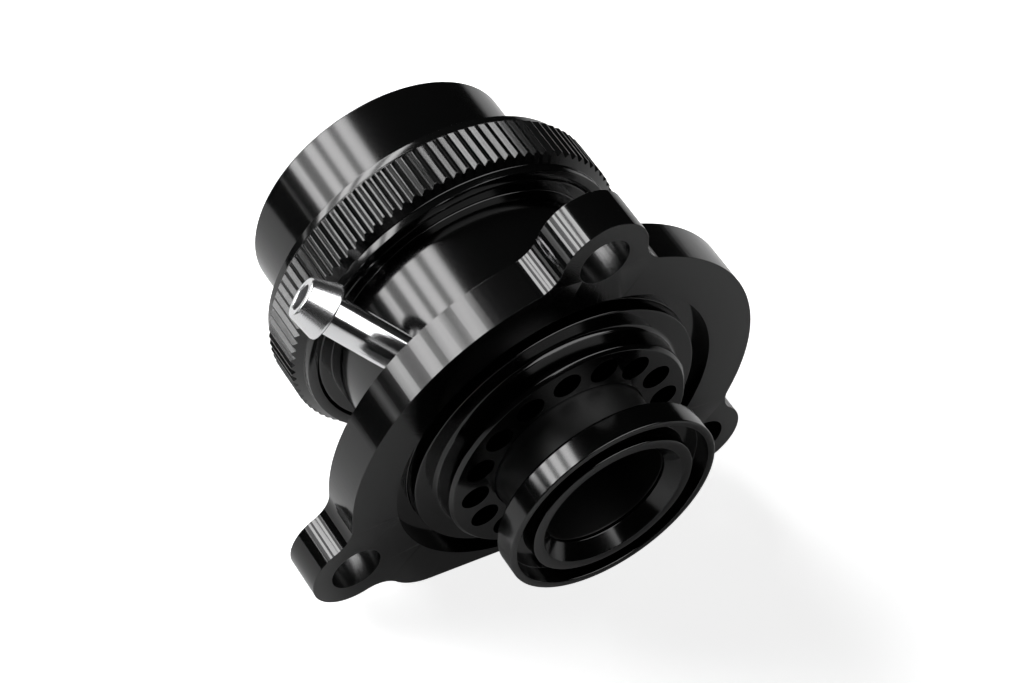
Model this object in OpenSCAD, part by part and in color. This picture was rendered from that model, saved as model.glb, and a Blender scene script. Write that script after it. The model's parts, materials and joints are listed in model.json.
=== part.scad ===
// Blow off valve with a three-ear flange, a sprung piston valve and a knurled union collar.
// Each piece is drawn with the mounting face in the plane z = 0 and the nose along +Z.
// The finished pieces lie on the flat side of the flange, with the nose along -Y.

/* [Flange] */
// Diameter of the round flange plate
flange_d = 55; // [52:0.5:60]
// Thickness of the flange plate
flange_t = 5.6; // [4.5:0.1:7]
// Distance from the valve axis to the flat side of the flange
flange_flat = 22.5; // [22.2:0.1:26]
// Radius of the corners at the ends of the flat side
flat_round = 7.5; // [2:0.5:8]
// Pitch circle diameter of the ear holes
ear_pcd = 57.6; // [56:0.2:62]
// Radius of the round end of an ear
ear_r = 5.8; // [5:0.1:7]
// Radius of the fillet between an ear and the plate
ear_fillet = 4; // [2:0.5:6]
// Diameter of an ear hole
ear_hole_d = 6.5; // [5.5:0.1:7]
// Outer diameter of the seal groove in the mounting face
groove_d = 43.1; // [41:0.1:43.6]
// Width of the seal groove
groove_w = 2.35; // [1.5:0.05:3]
// Depth of the seal groove
groove_depth = 1.8; // [1:0.1:2.4]

/* [Shoulder] */
// Diameter of the raised shoulder
shoulder_d = 32.6; // [32:0.1:34]
// Height of the shoulder above the mounting face
shoulder_h = 3.2; // [2:0.1:4.5]
// Chamfer on the edge of the shoulder
shoulder_chamfer = 0.4; // [0.2:0.05:0.6]
// Fillet at the foot of the shoulder
shoulder_fillet = 0.6; // [0.3:0.05:0.9]
// Number of vent holes through the shoulder
vent_count = 16; // [8:1:17]
// Diameter of a vent hole
vent_d = 3.7; // [2.5:0.1:3.9]
// Pitch circle diameter of the vent holes
vent_pcd = 25.9; // [25.6:0.1:26.4]
// Angle of the first vent hole
vent_turn = 14.8; // [0:0.1:22.5]

/* [Barrel] */
// Outside diameter of the barrel behind the flange
barrel_d = 36.6; // [36:0.1:38]
// Diameter of the cylinder bore
bore_d = 29; // [28.6:0.1:29.2]
// Depth of the front wall of the bore below the mounting face
bore_front = 3.2; // [2.6:0.1:3.6]
// Diameter of the relief groove at the front of the bore
relief_d = 30.4; // [30:0.1:31]
// Length of the relief groove
relief_len = 1; // [0.6:0.1:1.2]
// Length of the valve body behind the mounting face
body_len = 26; // [25:0.5:30]
// Diameter of the threaded land that carries the collar
land_d = 40.2; // [39.8:0.1:40.6]
// Length of the threaded land
land_len = 4.7; // [4:0.1:6]
// Chamfer on the front edge of the land
land_chamfer = 0.3; // [0.1:0.05:0.5]
// Diameter of the drilled signal passage in the barrel wall
passage_d = 2.2; // [1.6:0.1:2.4]

/* [Piston] */
// Diameter of the piston stem
stem_d = 20.4; // [20:0.1:20.8]
// Diameter of the pocket in the nose
pocket_d = 16; // [14:0.1:17]
// Depth of the nose pocket below the mounting face
pocket_depth = 1; // [0:0.1:2]
// Length of the piston skirt
skirt_len = 7; // [6.5:0.1:9]
// Thickness of the crown between the nose pocket and the spring pocket
crown_t = 4; // [3:0.1:6]
// Stroke of the piston
stroke = 6; // [4:0.1:7]
// Gap left behind the valve head at the end of the stroke
stop_gap = 0.2; // [0.1:0.05:0.5]
// Radial running clearance of the stem in its guide
stem_clear = 0.05; // [0.02:0.01:0.09]
// Radial clearance of the skirt in the cylinder bore
skirt_clear = 0.09; // [0.07:0.01:0.1]
// Height of the stop ring on the front of the skirt
stop_ring_h = 0.5; // [0.3:0.1:0.8]
// Width of the stop ring
stop_ring_w = 0.6; // [0.4:0.1:1]
// Gap between the stop ring and the front wall
stop_ring_gap = 0.1; // [0.05:0.05:0.3]
// Depth of the ring grooves in the skirt
ring_depth = 1.6; // [1.2:0.1:1.8]
// Width of the piston seal
seal_w = 1.8; // [1.4:0.1:2]
// Width of the guide band
band_w = 2; // [1.6:0.1:2.4]
// Wall between the ring grooves and the ends of the skirt
ring_wall = 1; // [0.8:0.1:1.2]
// Radial clearance of the guide band in the bore
band_clear = 0.04; // [0.02:0.01:0.06]
// Radial clearance of the piston seal in the bore
seal_clear = 0.03; // [0.02:0.01:0.06]

/* [Valve head] */
// Diameter of the valve head
head_d = 28; // [26:0.2:30]
// Thickness of the valve head
head_t = 3.45; // [3:0.05:4.5]
// Width of the rim outside the groove in the head's face
head_rim = 0.95; // [0.6:0.05:1.2]
// Width of the groove in the head's face
head_groove_w = 2.2; // [1:0.1:2.4]
// Depth of the groove in the head's face
head_groove_depth = 2.4; // [1.2:0.1:2.5]
// Diameter of the mouth of the nose pocket
mouth_d = 19; // [18.6:0.1:20]
// Depth of the tapered mouth
mouth_depth = 1.75; // [1:0.05:2]
// Chamfer on the rear edge of the head
head_rear_chamfer = 0.45; // [0.2:0.05:0.8]
// Chamfer on the front edge of the head
head_front_chamfer = 0.2; // [0.1:0.05:0.3]
// Length of the stem's spigot inside the head
spigot_len = 1.2; // [0.8:0.05:1.3]
// Wall of the stem's spigot
spigot_wall = 1.1; // [0.8:0.05:1.4]

/* [Cap] */
// Outside diameter of the cap
cap_d = 35.8; // [35:0.1:36.2]
// Length of the cap behind the valve body
cap_len = 15.65; // [13:0.05:20]
// Diameter of the cap's clamping flange
cap_flange_d = 39.8; // [39:0.1:40]
// Thickness of the cap's clamping flange
cap_flange_t = 2; // [1.6:0.1:2.2]
// Thickness of the cap's end wall
cap_end_t = 3; // [2:0.1:4]
// Diameter of the spring chamber in the cap
cap_bore_d = 24; // [22:0.1:25]
// Length of the cap's centring spigot in the bore
cap_spigot_len = 1.5; // [1:0.1:2]
// Chamfer on the far edge of the cap
cap_chamfer = 0.3; // [0.1:0.05:1]
// Width of the cap seal's groove
cap_seal_w = 1.2; // [1:0.05:1.2]
// Depth of the cap seal's groove
cap_seal_depth = 0.96; // [0.8:0.02:1.2]

/* [Lock collar] */
// Outside diameter over the knurl
collar_d = 45.7; // [45:0.1:48]
// Length of the collar
collar_len = 9.3; // [8.8:0.1:11]
// Thickness of the lip that clamps the cap
collar_lip = 1.8; // [1.4:0.1:2.4]
// Depth of the plain band at the cap side
band_step = 0.85; // [0.7:0.05:1]
// Length of the plain band at the cap side
band_len = 1; // [0.6:0.1:1.5]
// Length of the cone on the flange side
nose_cone_len = 1.2; // [0.8:0.1:1.6]
// Drop of the radius over the cone
nose_cone_drop = 0.95; // [0.7:0.05:1.1]
// Chamfer on the flange side edge
nose_chamfer = 0.8; // [0.4:0.05:1]
// Number of knurl teeth
knurl_count = 100; // [60:1:120]
// Depth of the knurl
knurl_depth = 0.6; // [0.3:0.05:0.65]
// Part of each tooth's pitch taken by the flat on its tip
knurl_tip = 0.14; // [0.05:0.01:0.4]
// Thickness of the slip washer under the lip
slip_t = 0.6; // [0.4:0.1:1]
// Running clearance of the collar on the land, the cap and the washer
collar_clear = 0.1; // [0.05:0.01:0.2]

/* [Hose barb] */
// Direction of the barb around the valve axis
barb_turn = 150; // [140:1:160]
// Slant of the barb towards the cap
barb_slant = 36.4; // [30:0.1:42]
// Distance of the barb's root behind the mounting face
barb_root = 9; // [8.6:0.1:10]
// Reach of the barb outside the barrel
barb_reach = 15.7; // [12:0.1:20]
// Diameter of the shaft
barb_shaft_d = 4.9; // [4.4:0.1:5]
// Diameter of the barb's shoulder
barb_cone_d = 7.1; // [6.2:0.1:8]
// Diameter of the barb's tip
barb_tip_d = 5.1; // [4.6:0.1:5.6]
// Length of the barb's cone
barb_cone_len = 3.7; // [2.5:0.1:5]
// Chamfer on the barb's tip
barb_tip_chamfer = 0.4; // [0.1:0.05:0.6]
// Diameter of the bore
barb_bore_d = 3.2; // [2:0.1:3.4]
// Depth of the barb's seat in the barrel wall
barb_seat = 2.4; // [2:0.1:2.5]
// Radial clearance of the barb in its seat
barb_clear = 0.02; // [0.01:0.01:0.05]

/* [Spring] */
// Wire diameter of the return spring
spring_wire = 1.7; // [1:0.1:2]
// Mean diameter of the coils
spring_d = 17; // [15:0.1:19]
// Number of coils
spring_turns = 7; // [5:0.5:9]
// Margin of the spring seat beside the coils
seat_margin = 1; // [0.5:0.1:1.2]
// Radial clearance round the spring in the piston
spring_clear = 1.2; // [0.8:0.1:1.4]
// Thickness of the nylon spring seat
seat_t = 0.8; // [0.5:0.1:1.5]
// Thickness of the preload shim
shim_t = 0.4; // [0.2:0.1:1]
// Gap between pieces that rest on each other
rest_gap = 0.02; // [0.01:0.01:0.05]

/* [Hidden] */
$fn = 96;
eps = 0.01;
overlap = 1;
through = 100;
plate_steps = 180;
corner_steps = 8;
spring_steps = 24;
spring_sides = 8;
ear_angles = [90, 210, 330];
black = [0.06, 0.06, 0.065];
silver = [0.82, 0.82, 0.84];
rubber = [0.1, 0.1, 0.1];
nylon = [0.92, 0.9, 0.84];

flange_r = flange_d / 2;
groove_r = groove_d / 2;
bore_r = bore_d / 2;
barrel_r = barrel_d / 2;
land_r = land_d / 2;
stem_r = stem_d / 2;
guide_r = stem_r + stem_clear;
skirt_r = bore_r - skirt_clear;
pocket_r = pocket_d / 2;
head_r = head_d / 2;
cap_r = cap_d / 2;
collar_r = collar_d / 2;
collar_bore_r = land_r + collar_clear;

body_rear_z = -body_len;
bore_front_z = -bore_front;
land_front_z = body_rear_z + land_len;
head_rear_z = shoulder_h + stroke + stop_gap;
head_front_z = head_rear_z + head_t;
skirt_front_z = bore_front_z - stop_ring_gap - stop_ring_h;
skirt_rear_z = skirt_front_z - skirt_len;
pocket_floor_z = -pocket_depth;
spring_front_z = pocket_floor_z - crown_t;
cap_rear_z = body_rear_z - cap_len;
cap_floor_z = cap_rear_z + cap_end_t;
cap_flange_z = body_rear_z - cap_flange_t;
slip_rear_z = cap_flange_z - slip_t;
lip_front_z = slip_rear_z - collar_clear;
collar_rear_z = lip_front_z - collar_lip;
collar_front_z = collar_rear_z + collar_len;
shim_front_z = cap_floor_z + shim_t;
seat_front_z = shim_front_z + seat_t;
passage_r = (bore_r + barrel_r) / 2;
notch_depth = cap_spigot_len + passage_d / 2;
cap_seal_r = (passage_r + passage_d / 2 + land_r) / 2;
seat_inner_r = (spring_d - spring_wire) / 2 - seat_margin;
seat_outer_r = (spring_d + spring_wire) / 2 + seat_margin;

// The point at radius r and angle a
function polar(r, a) = r * [cos(a), sin(a)];

// Points of an arc about c from angle a0 to a1
function arc(c, r, a0, a1, steps = 6) =
  [for (i = [0 : steps]) c + polar(r, a0 + (a1 - a0) * i / steps)];

// A turned ring of rectangular section
module ring(outer_r, inner_r, z0, z1) {
  difference() {
    translate([0, 0, z0]) cylinder(r = outer_r, h = z1 - z0);
    translate([0, 0, z0 - eps]) cylinder(r = inner_r, h = z1 - z0 + 2 * eps);
  }
}

// A turned piece drawn as a half section
module turned(points) {
  rotate_extrude() polygon(points);
}

// Outline of one bolt ear with its two tangent fillets
module ear_outline() {
  pitch_r = ear_pcd / 2;
  hub_reach = flange_r + ear_fillet;
  ear_reach = ear_r + ear_fillet;
  spread = acos((hub_reach ^ 2 + pitch_r ^ 2 - ear_reach ^ 2) / (2 * hub_reach * pitch_r));
  fillet_centres = [polar(hub_reach, -spread), polar(hub_reach, spread)];
  translate([pitch_r, 0]) circle(r = ear_r);
  difference() {
    polygon([[0, 0], fillet_centres[0], [pitch_r, 0], fillet_centres[1]]);
    for (centre = fillet_centres) translate(centre) circle(r = ear_fillet);
  }
}

// Outline of the region cut off beside the flat side, with a rounded corner at each of its ends
module flat_cut() {
  inset = flange_r - flat_round;
  height = flange_flat - flat_round;
  centre = [sqrt(inset ^ 2 - height ^ 2), -height];
  bend = arc(centre, flat_round, -90, atan2(centre[1], centre[0]), corner_steps);
  last = len(bend) - 1;
  beyond = 2 * bend[last] - bend[last - 1];
  corner = concat([for (i = [0 : last - 1]) bend[i]], [beyond]);
  mirrored = [for (i = [last : -1 : 0]) [-corner[i][0], corner[i][1]]];
  polygon(concat(mirrored, corner, [[through, -through], [-through, -through]]));
}

// Outline of the flange plate with its ears, flat side and ear holes
module flange_outline() {
  difference() {
    union() {
      circle(r = flange_r, $fn = plate_steps);
      for (a = ear_angles) rotate(a) ear_outline();
    }
    flat_cut();
    for (a = ear_angles) rotate(a) translate([ear_pcd / 2, 0]) circle(d = ear_hole_d);
  }
}

// The flange plate with its empty seal groove
module flange() {
  difference() {
    translate([0, 0, -flange_t]) linear_extrude(flange_t) flange_outline();
    ring(groove_r, groove_r - groove_w, -groove_depth, eps);
  }
}

// Outside of the raised shoulder, the barrel and the threaded land as one turned shape
module turned_body() {
  shoulder_r = shoulder_d / 2;
  fillet_c = [shoulder_r + shoulder_fillet, shoulder_fillet];
  turned(concat(
    [[0, shoulder_h], [shoulder_r - shoulder_chamfer, shoulder_h]],
    [[shoulder_r, shoulder_h - shoulder_chamfer]],
    arc(fillet_c, shoulder_fillet, 180, 270),
    [[fillet_c[0], -flange_t / 2], [barrel_r, -flange_t / 2], [barrel_r, land_front_z]],
    [[land_r - land_chamfer, land_front_z], [land_r, land_front_z - land_chamfer], [land_r, body_rear_z]],
    [[0, body_rear_z]]
  ));
}

// The stem's guide hole, the cylinder bore and the relief groove between them
module cylinder_bore() {
  relief_r = relief_d / 2;
  relief_rear_z = bore_front_z - relief_len;
  turned([
    [0, shoulder_h + eps], [guide_r, shoulder_h + eps], [guide_r, bore_front_z],
    [relief_r, bore_front_z], [relief_r, relief_rear_z], [bore_r, relief_rear_z],
    [bore_r, body_rear_z - eps], [0, body_rear_z - eps]
  ]);
}

// Places its children on the barb's axis, with z = 0 where that axis leaves the barrel
module at_barb() {
  rotate(barb_turn) translate([barrel_r, 0, -barb_root]) rotate([0, 90 + barb_slant, 0]) children();
}

module valve_body() {
  passage_front = barb_root - barb_seat * sin(barb_slant);
  color(black) difference() {
    union() {
      flange();
      turned_body();
    }
    cylinder_bore();
    for (i = [0 : vent_count - 1]) rotate(vent_turn + i * 360 / vent_count)
      translate([vent_pcd / 2, 0, bore_front_z - eps])
        cylinder(d = vent_d, h = bore_front + shoulder_h + 2 * eps);
    at_barb() translate([0, 0, -barb_seat])
      cylinder(d = barb_shaft_d + 2 * barb_clear, h = barb_seat + barb_shaft_d);
    rotate(barb_turn) translate([passage_r, 0, body_rear_z - eps])
      cylinder(d = passage_d, h = body_len - passage_front + eps);
    rotate(barb_turn) translate([bore_r - overlap, -passage_d / 2, body_rear_z - eps])
      cube([passage_r - bore_r + overlap, passage_d, notch_depth + eps]);
    ring(cap_seal_r + cap_seal_w / 2, cap_seal_r - cap_seal_w / 2,
      body_rear_z - eps, body_rear_z + cap_seal_depth);
  }
}

// Stem, crown and skirt in one turned piece, with grooves for the band and the seal
module piston() {
  spring_pocket_r = (spring_d + spring_wire) / 2 + spring_clear;
  groove_floor_r = skirt_r - ring_depth;
  band_front_z = skirt_front_z - ring_wall;
  seal_rear_z = skirt_rear_z + ring_wall;
  spigot_r = pocket_r + spigot_wall;
  color(black) turned([
    [0, pocket_floor_z], [pocket_r, pocket_floor_z], [pocket_r, head_rear_z + spigot_len],
    [spigot_r, head_rear_z + spigot_len], [spigot_r, head_rear_z], [stem_r, head_rear_z],
    [stem_r, skirt_front_z + stop_ring_h], [stem_r + stop_ring_w, skirt_front_z + stop_ring_h],
    [stem_r + stop_ring_w, skirt_front_z], [skirt_r, skirt_front_z],
    [skirt_r, band_front_z], [groove_floor_r, band_front_z],
    [groove_floor_r, band_front_z - band_w], [skirt_r, band_front_z - band_w],
    [skirt_r, seal_rear_z + seal_w], [groove_floor_r, seal_rear_z + seal_w],
    [groove_floor_r, seal_rear_z], [skirt_r, seal_rear_z],
    [skirt_r, skirt_rear_z], [spring_pocket_r, skirt_rear_z],
    [spring_pocket_r, spring_front_z], [0, spring_front_z]
  ]);
}

// Valve head with its empty face groove and tapered mouth
module valve_head() {
  spigot_bore_r = pocket_r + spigot_wall + rest_gap;
  groove_outer_r = head_r - head_rim;
  groove_inner_r = groove_outer_r - head_groove_w;
  groove_floor_z = head_front_z - head_groove_depth;
  socket_z = head_rear_z + spigot_len + rest_gap;
  color(black) turned([
    [spigot_bore_r, head_rear_z + rest_gap], [head_r - head_rear_chamfer, head_rear_z + rest_gap],
    [head_r, head_rear_z + rest_gap + head_rear_chamfer], [head_r, head_front_z - head_front_chamfer],
    [head_r - head_front_chamfer, head_front_z], [groove_outer_r, head_front_z],
    [groove_outer_r, groove_floor_z], [groove_inner_r, groove_floor_z],
    [groove_inner_r, head_front_z], [mouth_d / 2, head_front_z],
    [pocket_r, head_front_z - mouth_depth], [pocket_r, socket_z], [spigot_bore_r, socket_z]
  ]);
}

// Bearing band that guides the skirt
module guide_band() {
  front_z = skirt_front_z - ring_wall - rest_gap;
  inner_r = skirt_r - ring_depth + rest_gap;
  color(nylon) ring(bore_r - band_clear, inner_r, front_z - band_w + 2 * rest_gap, front_z);
}

// Sealing ring at the rear of the skirt
module piston_seal() {
  rear_z = skirt_rear_z + ring_wall + rest_gap;
  inner_r = skirt_r - ring_depth + rest_gap;
  color(rubber) ring(bore_r - seal_clear, inner_r, rear_z, rear_z + seal_w - 2 * rest_gap);
}

// Round wire swept along a helix, with steps rings in a turn and sides points in each ring
module helix_wire(coil_r, wire_r, z0, z1, turns, steps, sides) {
  count = turns * steps;
  points = [for (i = [0 : count], k = [0 : sides - 1])
    let (a = 360 * i / steps, b = 360 * k / sides, r = coil_r + wire_r * cos(b))
    [r * cos(a), r * sin(a), z0 + (z1 - z0) * i / count + wire_r * sin(b)]];
  walls = [for (i = [0 : count - 1], k = [0 : sides - 1])
    let (n = (k + 1) % sides)
    [i * sides + k, i * sides + n, (i + 1) * sides + n, (i + 1) * sides + k]];
  ends = [[for (k = [sides - 1 : -1 : 0]) k], [for (k = [0 : sides - 1]) count * sides + k]];
  polyhedron(points, concat(walls, ends), convexity = 10);
}

module return_spring() {
  wire_r = spring_wire / 2;
  color(silver)
    helix_wire(spring_d / 2, wire_r, seat_front_z + wire_r + rest_gap, spring_front_z - wire_r - rest_gap,
      spring_turns, spring_steps, spring_sides);
}

module spring_seat() {
  color(nylon) ring(seat_outer_r, seat_inner_r, shim_front_z + rest_gap, seat_front_z);
}

module preload_shim() {
  color(silver) ring(seat_outer_r, seat_inner_r, cap_floor_z + rest_gap, shim_front_z);
}

module cap() {
  cap_spigot_r = bore_r - skirt_clear;
  spigot_z = body_rear_z + cap_spigot_len;
  cap_bore_r = cap_bore_d / 2;
  color(black) turned([
    [0, cap_rear_z], [cap_r - cap_chamfer, cap_rear_z], [cap_r, cap_rear_z + cap_chamfer],
    [cap_r, cap_flange_z], [cap_flange_d / 2, cap_flange_z], [cap_flange_d / 2, body_rear_z - rest_gap],
    [cap_spigot_r, body_rear_z - rest_gap], [cap_spigot_r, spigot_z],
    [cap_bore_r, spigot_z], [cap_bore_r, cap_floor_z], [0, cap_floor_z]
  ]);
}

module cap_seal() {
  half_w = cap_seal_w / 2 - rest_gap;
  color(rubber)
    ring(cap_seal_r + half_w, cap_seal_r - half_w, body_rear_z, body_rear_z + cap_seal_depth - rest_gap);
}

module slip_washer() {
  color(nylon) ring(cap_flange_d / 2, cap_r + collar_clear, slip_rear_z, cap_flange_z - rest_gap);
}

// Outline of the knurl: pointed teeth with a narrow flat on each tip
function knurl_outline(r, depth, count, tip) =
  [for (i = [0 : count - 1])
    let (pitch = 360 / count, half_tip = tip / 2)
    each [
      polar(r, (i - half_tip) * pitch),
      polar(r, (i + half_tip) * pitch),
      polar(r - depth, (i + 0.5) * pitch)
    ]];

// Union nut with a toothed grip between a plain band and a coned nose
module lock_collar() {
  band_r = collar_r - band_step;
  cone_r = collar_r - nose_cone_drop;
  edge_r = cone_r - nose_chamfer;
  cone_z = collar_front_z - nose_chamfer - nose_cone_len;
  color(black) difference() {
    intersection() {
      translate([0, 0, collar_rear_z]) linear_extrude(collar_len)
        polygon(knurl_outline(collar_r, knurl_depth, knurl_count, knurl_tip));
      turned([
        [0, collar_rear_z], [band_r, collar_rear_z], [band_r, collar_rear_z + band_len],
        [collar_r + eps, collar_rear_z + band_len + band_step], [collar_r + eps, cone_z],
        [cone_r, cone_z + nose_cone_len], [edge_r, collar_front_z], [0, collar_front_z]
      ]);
    }
    translate([0, 0, lip_front_z]) cylinder(r = collar_bore_r, h = collar_len);
    translate([0, 0, collar_rear_z - eps]) cylinder(r = cap_r + collar_clear, h = collar_len);
  }
}

// Slanted hose barb with a plain shaft, a coned end and a through bore
module hose_barb() {
  cone_start = barb_reach - barb_cone_len;
  root_z = -barb_seat + rest_gap;
  color(silver) at_barb() turned([
    [barb_bore_d / 2, root_z], [barb_shaft_d / 2, root_z], [barb_shaft_d / 2, cone_start],
    [barb_cone_d / 2, cone_start], [barb_tip_d / 2, barb_reach - barb_tip_chamfer],
    [barb_tip_d / 2 - barb_tip_chamfer, barb_reach], [barb_bore_d / 2, barb_reach]
  ]);
}

// Lays the valve down, from nose up to nose forward
module laid() {
  rotate([90, 0, 0]) children();
}

laid() valve_body();
laid() piston();
laid() valve_head();
laid() guide_band();
laid() piston_seal();
laid() return_spring();
laid() spring_seat();
laid() preload_shim();
laid() cap();
laid() cap_seal();
laid() slip_washer();
laid() lock_collar();
laid() hose_barb();
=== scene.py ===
"""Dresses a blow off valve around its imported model: turned pieces, finishes, studio and camera."""

import json
import math

import bpy
from bpy.props import FloatProperty, FloatVectorProperty, IntProperty, PointerProperty
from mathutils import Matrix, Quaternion, Vector


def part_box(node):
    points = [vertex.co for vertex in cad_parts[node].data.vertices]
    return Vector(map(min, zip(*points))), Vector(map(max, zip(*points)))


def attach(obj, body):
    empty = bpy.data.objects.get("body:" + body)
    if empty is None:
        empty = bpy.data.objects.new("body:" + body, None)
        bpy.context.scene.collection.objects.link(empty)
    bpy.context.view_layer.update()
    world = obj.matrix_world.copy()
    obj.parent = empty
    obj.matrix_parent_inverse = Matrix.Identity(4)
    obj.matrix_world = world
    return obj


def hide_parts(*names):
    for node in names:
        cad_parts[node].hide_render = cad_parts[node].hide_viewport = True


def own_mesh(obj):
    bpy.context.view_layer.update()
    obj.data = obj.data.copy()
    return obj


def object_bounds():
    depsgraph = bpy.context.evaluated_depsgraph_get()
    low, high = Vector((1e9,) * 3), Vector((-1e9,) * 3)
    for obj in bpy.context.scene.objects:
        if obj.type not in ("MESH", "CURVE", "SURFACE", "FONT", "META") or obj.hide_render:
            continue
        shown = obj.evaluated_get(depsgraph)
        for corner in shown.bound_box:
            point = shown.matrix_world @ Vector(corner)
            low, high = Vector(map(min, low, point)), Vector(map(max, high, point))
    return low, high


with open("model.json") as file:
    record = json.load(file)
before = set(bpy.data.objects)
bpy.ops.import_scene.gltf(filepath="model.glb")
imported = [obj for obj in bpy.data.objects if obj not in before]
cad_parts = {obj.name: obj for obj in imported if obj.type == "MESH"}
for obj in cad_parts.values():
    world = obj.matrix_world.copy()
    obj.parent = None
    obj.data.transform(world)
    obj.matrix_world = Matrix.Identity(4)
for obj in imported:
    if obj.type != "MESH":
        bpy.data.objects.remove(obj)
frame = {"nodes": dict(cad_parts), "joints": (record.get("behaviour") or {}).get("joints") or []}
cad_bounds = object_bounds()

bl_info = {
    "name": "Blow off valve",
    "version": (1, 0, 0),
    "blender": (4, 5, 0),
    "location": "View3D > Sidebar > Valve",
    "description": "Builds the dressed pieces of a blow off valve around its packed model",
    "category": "Object",
}

MM = 0.001
AXIS = Vector((0, 1, 0))
EAR_ANGLES = (90, 210, 330)

# Places along the valve's axis, in metres: the nose is at negative y and the cap at positive y
HEAD_FRONT, HEAD_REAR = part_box("valve_head")[0].y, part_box("valve_head")[1].y
BODY_FRONT, BODY_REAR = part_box("valve_body")[0].y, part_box("valve_body")[1].y
SKIRT_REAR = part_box("piston")[1].y
CAP_FRONT, CAP_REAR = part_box("cap")[0].y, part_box("cap")[1].y
COLLAR_FRONT, COLLAR_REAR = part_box("lock_collar")[0].y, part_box("lock_collar")[1].y
SPRING_FRONT, SPRING_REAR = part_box("return_spring")[0].y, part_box("return_spring")[1].y
FLOOR_HEIGHT = cad_bounds[0][2]

# Outer radii of the turned pieces, in metres
HEAD_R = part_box("valve_head")[1].x
SKIRT_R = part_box("piston")[1].x
CAP_FLANGE_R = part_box("cap")[1].x
COLLAR_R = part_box("lock_collar")[1].x

# Steps round the flange's outline, its holes and the smaller round pieces
FILLET_STEPS, EAR_STEPS, RIM_STEPS, HOLE_STEPS = 14, 60, 44, 72
DRILL_STEPS, COLLAR_STEPS, BARB_STEPS, WIRE_STEPS, COIL_STEPS = 40, 300, 96, 16, 40

# Vertices nearer than WELD are one; HAIR tells a face's side of a limit; CLEAR parts two seated pieces
WELD, HAIR, CLEAR = 0.002 * MM, 0.01 * MM, 0.02 * MM

# Roughness, scale of the grain and depth of the tool marks in metres
BLACK_FINISHES = {
    "turned_black": (0.115, 3500, 1e-7),
    "milled_black": (0.06, 3500, 1e-7),
    "knurled_black": (0.18, 6000, 1.2e-5),
    "satin_black": (0.4, 3500, 1e-7),
    "drilled_black": (0.2, 2500, 2e-5),
}


def length(name, description, millimetres):
    """A length property whose default is given in millimetres."""
    return FloatProperty(
        name=name, description=description, default=millimetres * MM, unit="LENGTH", precision=6
    )


def rotation(name, description, degrees):
    """An angle property whose default is given in degrees."""
    return FloatProperty(name=name, description=description, default=math.radians(degrees), unit="ROTATION")


def number(name, description, value):
    """A plain number property."""
    return FloatProperty(name=name, description=description, default=value)


def colour(name, description, value):
    """A linear colour property."""
    return FloatVectorProperty(
        name=name, description=description, default=value, size=3, subtype="COLOR", min=0, max=1
    )


class HousingSizes(bpy.types.PropertyGroup):
    """Sizes of the flange, the shoulder and the barrel."""

    flange_r: length("Flange radius", "Radius of the round flange plate", 27.5)
    flange_t: length("Flange thickness", "Thickness of the flange plate", 5.6)
    flange_flat: length("Flat side", "Distance from the axis to the flat side", 22.5)
    flat_round: length("Flat corner", "Radius of the corners of the flat side", 7.5)
    ear_pitch_r: length("Ear pitch", "Distance of an ear hole from the axis", 28.8)
    ear_r: length("Ear radius", "Radius of the round end of an ear", 5.8)
    ear_fillet: length("Ear fillet", "Radius of the fillet beside an ear", 4.0)
    ear_hole_r: length("Ear hole", "Radius of an ear hole", 3.25)
    groove_r: length("Groove radius", "Outer radius of the seal groove", 21.55)
    groove_w: length("Groove width", "Width of the seal groove", 2.35)
    groove_depth: length("Groove depth", "Depth of the seal groove", 1.8)
    shoulder_r: length("Shoulder radius", "Radius of the raised shoulder", 16.3)
    shoulder_chamfer: length("Shoulder chamfer", "Chamfer on the shoulder's edge", 0.4)
    shoulder_fillet: length("Shoulder fillet", "Fillet at the shoulder's foot", 0.6)
    vent_count: IntProperty(name="Vents", description="Number of vent holes", default=16, min=1)
    vent_r: length("Vent radius", "Radius of a vent hole", 1.85)
    vent_pitch_r: length("Vent pitch", "Distance of a vent hole from the axis", 12.95)
    vent_turn: rotation("Vent turn", "Angle of the first vent", 14.8)
    guide_r: length("Guide radius", "Radius of the stem's guide hole", 10.25)
    bore_r: length("Bore radius", "Radius of the cylinder bore", 14.5)
    bore_front: length("Bore front", "Depth of the bore's front wall", 3.2)
    relief_r: length("Relief radius", "Radius of the relief groove", 15.2)
    relief_len: length("Relief length", "Length of the relief groove", 1.0)
    barrel_r: length("Barrel radius", "Outside radius of the barrel", 18.3)
    land_r: length("Land radius", "Radius of the land under the collar", 20.1)
    land_len: length("Land length", "Length of the land under the collar", 4.7)
    land_chamfer: length("Land chamfer", "Chamfer on the land's front edge", 0.3)


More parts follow.
